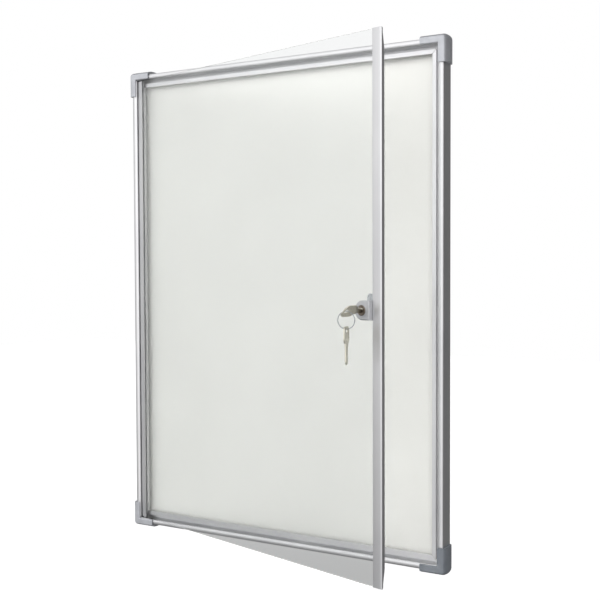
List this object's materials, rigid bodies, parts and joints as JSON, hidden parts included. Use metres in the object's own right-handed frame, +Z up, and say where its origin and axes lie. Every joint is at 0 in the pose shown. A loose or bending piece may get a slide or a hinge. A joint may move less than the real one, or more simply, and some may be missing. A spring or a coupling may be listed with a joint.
{
  "type": "lockable notice board",
  "caption": "Lockable wall notice board: a shallow aluminium case with a white magnetic back, moulded corners, a clear hinged door and a cam lock with its keys.",
  "frame": {"origin": "middle of the rear face that lies on the wall", "axes": "+X to the right seen from the front, +Y into the wall, +Z up; the front faces -Y; the door is stored open by 15 degrees, as in the picture"},
  "size_m": [0.5218, 0.1843, 0.6998],
  "materials": {
    "anodised_aluminium": "satin anodised extrusion",
    "grey_cap_plastic": "moulded, satin",
    "black_nylon": "moulded",
    "white_enamelled_steel": "smooth white enamel",
    "hardboard": "pressed fibre",
    "clear_pane": "clear, polished",
    "bright_steel": "zinc plated",
    "housing_grey": "satin grey die casting",
    "key_nickel": "nickel plated, worn"
  },
  "bodies": {
    "case": {"rail_left": "anodised_aluminium", "rail_top": "anodised_aluminium", "rail_right": "anodised_aluminium", "rail_bottom": "anodised_aluminium", "corner_connector_top_left": "black_nylon", "corner_connector_top_right": "black_nylon", "corner_connector_bottom_left": "black_nylon", "corner_connector_bottom_right": "black_nylon", "corner_cap_top_left": "grey_cap_plastic", "corner_cap_top_right": "grey_cap_plastic", "corner_cap_bottom_left": "grey_cap_plastic", "corner_cap_bottom_right": "grey_cap_plastic", "display_sheet": "white_enamelled_steel", "core_board": "hardboard", "hinge_bush_top": "black_nylon", "hinge_bush_bottom": "black_nylon"},
    "door": {"hinge_stile": "anodised_aluminium", "lock_stile": "anodised_aluminium", "door_pane": "clear_pane", "hinge_pin_top": "bright_steel", "hinge_pin_bottom": "bright_steel", "lock_housing": "housing_grey", "lock_barrel": "bright_steel", "lock_nut": "bright_steel"},
    "lock_cylinder": {"lock_plug": "key_nickel", "cam_screw": "bright_steel", "lock_cam": "bright_steel"},
    "key": {"door_key": "key_nickel"},
    "ring": {"key_ring": "bright_steel"},
    "spare": {"spare_key": "key_nickel"}
  },
  "joints": [
    {"name": "door_hinge", "type": "hinge", "parent": "case", "child": "door", "pos_m": [-0.2442, -0.0204, 0], "axis": [0, 0, -1], "range_deg": [-15, 80]},
    {"name": "lock_turn", "type": "hinge", "parent": "door", "child": "lock_cylinder", "pos_m": [0.20476, -0.1407, 0], "axis": [0.2588, 0.9659, 0], "range_deg": [0, 90]},
    {"name": "key_pull", "type": "slide", "parent": "lock_cylinder", "child": "key", "axis": [-0.2588, -0.9659, 0], "range_m": [0, 0.014]},
    {"name": "ring_swing", "type": "hinge", "parent": "key", "child": "ring", "pos_m": [0.19555, -0.17509, 0], "axis": [0.9848, 0.1736, 0], "range_deg": [-20, 20]},
    {"name": "spare_key_swing", "type": "hinge", "parent": "ring", "child": "spare", "pos_m": [0.19555, -0.17509, -0.0212], "axis": [0.9848, 0.1736, 0], "range_deg": [-20, 20]}
  ]
}
